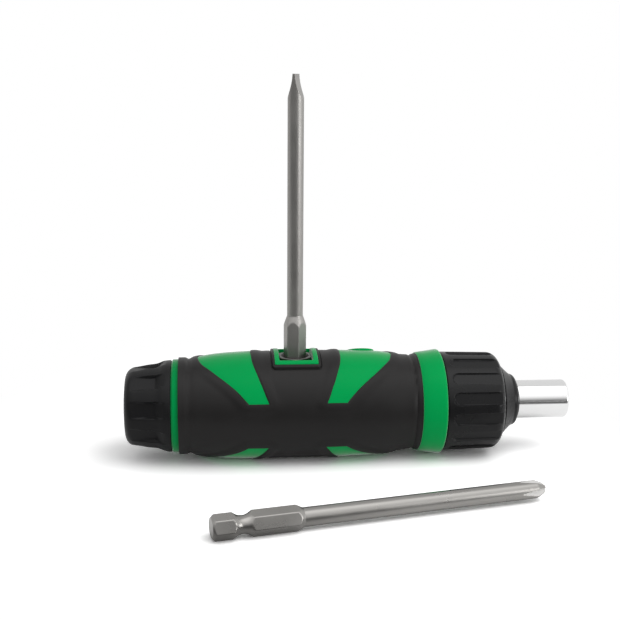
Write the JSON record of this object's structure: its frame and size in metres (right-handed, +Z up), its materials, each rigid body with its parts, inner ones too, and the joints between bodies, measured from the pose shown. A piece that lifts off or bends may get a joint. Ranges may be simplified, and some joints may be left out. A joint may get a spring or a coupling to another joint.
{
  "type": "ratcheting screwdriver",
  "caption": "Ratcheting screwdriver with a two-part soft grip, a fluted direction ring, a hex chuck and a side socket that holds a long bit across the handle as a T-handle.",
  "frame": {"origin": "on the flat under the grip, straight below the side socket's axis", "axes": "+X along the drive axis towards the chuck, +Z up along the side socket's axis, +Y to the left of the tool seen from behind"},
  "size_m": [0.143, 0.0867, 0.1206],
  "materials": {
    "green_plastic": "satin moulded",
    "black_rubber": "soft matt overmould",
    "black_plastic": "fine matt moulded",
    "seal_rubber": "smooth",
    "bush_steel": "dark machined",
    "bit_steel": "blasted tool steel",
    "chuck_steel": "polished turned",
    "mechanism_steel": "ground",
    "spring_steel": "bright drawn",
    "housing_zinc": "die cast",
    "bronze": "sintered",
    "magnet": "plated"
  },
  "bodies": {
    "handle": {"handle_core": "green_plastic", "rubber_grip": "black_rubber", "rear_collar": "green_plastic", "t_socket_sleeve": "bush_steel", "t_socket_magnet": "magnet", "housing_screw": "mechanism_steel", "screw_cover": "green_plastic", "ratchet_housing": "housing_zinc", "spindle_bush": "bronze", "thrust_ball": "mechanism_steel", "thrust_washer": "bronze", "pawl_spring": "spring_steel", "detent_spring": "spring_steel", "nose_collar": "black_plastic"},
    "seal": {"cap_seal": "seal_rubber"},
    "cap": {"rear_cap": "black_plastic"},
    "drive": {"spindle": "mechanism_steel", "gear_key": "mechanism_steel", "ratchet_gear": "mechanism_steel", "chuck_sleeve": "chuck_steel", "chuck_magnet": "magnet", "bit_retaining_ring": "spring_steel"},
    "selector": {"selector_ring": "black_plastic", "selector_cam": "mechanism_steel"},
    "pawl_left": {"left_pawl": "mechanism_steel"},
    "pawl_right": {"right_pawl": "mechanism_steel"},
    "upright_bit": {"slotted_bit": "bit_steel"},
    "loose_bit": {"phillips_bit": "bit_steel"}
  },
  "joints": [
    {"name": "spindle_turn", "type": "hinge", "parent": "handle", "child": "drive", "pos_m": [0.0725, 0, 0.0169], "axis": [1, 0, 0], "continuous": true},
    {"name": "selector_turn", "type": "hinge", "parent": "handle", "child": "selector", "pos_m": [0.0565, 0, 0.0169], "axis": [1, 0, 0], "range_deg": [-20, 20], "deforming": ["detent_spring", "pawl_spring"]},
    {"name": "left_pawl_slide", "type": "slide", "parent": "handle", "child": "pawl_left", "axis": [0, 1, 0], "range_m": [-0.00056, 0.00056]},
    {"name": "right_pawl_slide", "type": "slide", "parent": "handle", "child": "pawl_right", "axis": [0, -1, 0], "range_m": [-0.00056, 0.00056]},
    {"name": "cap_travel", "type": "slide", "parent": "handle", "child": "seal", "axis": [-1, 0, 0], "range_m": [0, 0.01201]},
    {"name": "cap_turn", "type": "hinge", "parent": "seal", "child": "cap", "pos_m": [-0.047, 0, 0.0169], "axis": [-1, 0, 0], "range_deg": [0, 1440]},
    {"name": "slotted_bit_pull", "type": "slide", "parent": "handle", "child": "upright_bit", "axis": [0, 0, 1], "range_m": [0, 0.04]},
    {"name": "phillips_bit_lift", "type": "slide", "parent": "handle", "child": "loose_bit", "axis": [0, 0, 1], "range_m": [0, 0.04]}
  ],
  "couplings": [
    {"joint": "left_pawl_slide", "follows": "selector_turn", "m_per_rad": 0.0015756},
    {"joint": "right_pawl_slide", "follows": "selector_turn", "m_per_rad": -0.0015756},
    {"joint": "cap_travel", "follows": "cap_turn", "m_per_rad": 0.00047746}
  ]
}
